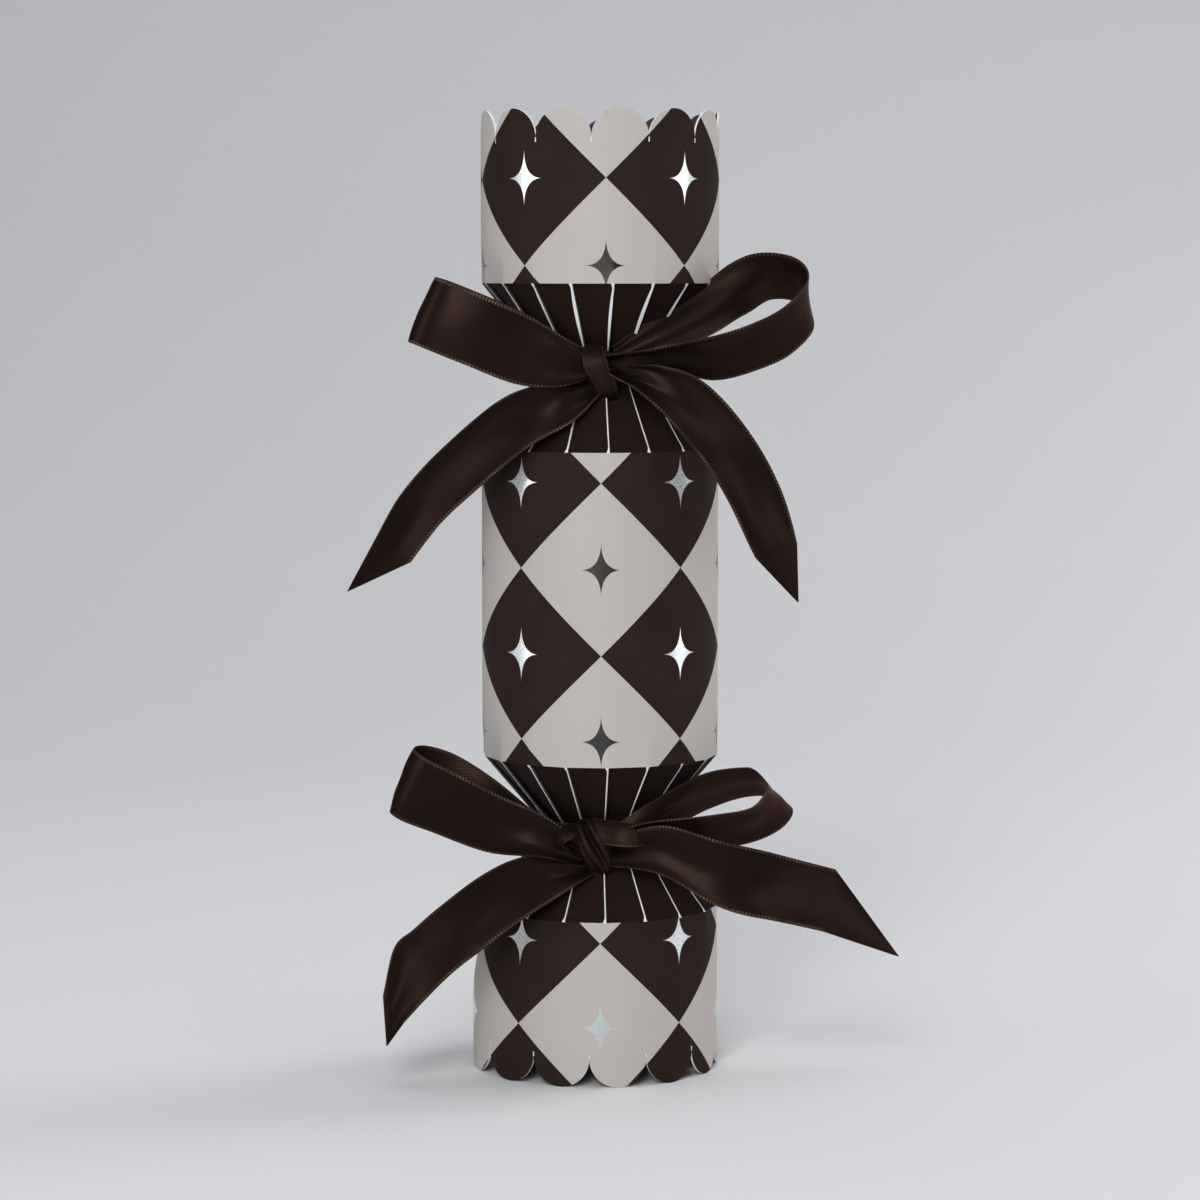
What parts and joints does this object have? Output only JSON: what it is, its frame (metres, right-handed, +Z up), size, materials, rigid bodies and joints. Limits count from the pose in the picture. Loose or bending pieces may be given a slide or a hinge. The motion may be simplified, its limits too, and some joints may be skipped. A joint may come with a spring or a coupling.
{
  "type": "party cracker",
  "caption": "Card party cracker standing on end: printed tube with scalloped ends, slit necks tied by satin bows, and a snap, gift box, rolled hat and motto inside, which it frees when pulled",
  "frame": {"origin": "under the middle of the whole outline, bows included, on the surface that the lower end's scallop tips stand on; the tube's own axis stands at x -5 mm, y +2.45 mm", "axes": "+Z up along the tube, +X to the right seen from the front, -Y towards the front, where the bows are"},
  "size_m": [0.1203, 0.0584, 0.2102],
  "materials": {
    "lower_tube": "printed satin card",
    "barrel_wrap": "printed satin card",
    "upper_tube": "printed satin card",
    "lower_ribbon": "satin ribbon",
    "upper_ribbon": "satin ribbon",
    "snap_strip_lower": "plain card",
    "snap_strip_upper": "plain card",
    "snap_charge": "dry coating",
    "snap_sleeve": "thin paper",
    "tape_lower": "clear tape",
    "tape_upper": "clear tape",
    "gift_box_base": "covered card",
    "gift_box_lid": "covered card",
    "foam_pad": "soft foam",
    "stud_earring_left": "polished",
    "stud_earring_right": "polished",
    "stud_back_left": "polished",
    "stud_back_right": "polished",
    "paper_hat": "tissue paper",
    "hat_band": "thin paper",
    "motto_slip": "thin paper"
  },
  "bodies": {
    "lower_end": {"lower_tube": "lower_tube", "lower_ribbon": "lower_ribbon", "snap_strip_lower": "snap_strip_lower", "snap_charge": "snap_charge", "snap_sleeve": "snap_sleeve", "tape_lower": "tape_lower"},
    "barrel": {"barrel_wrap": "barrel_wrap", "gift_box_base": "gift_box_base", "foam_pad": "foam_pad", "stud_earring_left": "stud_earring_left", "stud_earring_right": "stud_earring_right", "stud_back_left": "stud_back_left", "stud_back_right": "stud_back_right", "paper_hat": "paper_hat", "hat_band": "hat_band", "motto_slip": "motto_slip"},
    "gift_lid": {"gift_box_lid": "gift_box_lid"},
    "upper_end": {"upper_tube": "upper_tube", "upper_ribbon": "upper_ribbon", "snap_strip_upper": "snap_strip_upper", "tape_upper": "tape_upper"}
  },
  "joints": [
    {"name": "barrel_pull", "type": "slide", "parent": "lower_end", "child": "barrel", "axis": [0, 0, 1], "range_m": [0, 0.09]},
    {"name": "upper_pull", "type": "slide", "parent": "barrel", "child": "upper_end", "axis": [0, 0, 1], "range_m": [0, 0.09]},
    {"name": "lid_lift", "type": "slide", "parent": "barrel", "child": "gift_lid", "axis": [0, 0, 1], "range_m": [0, 0.012]}
  ]
}
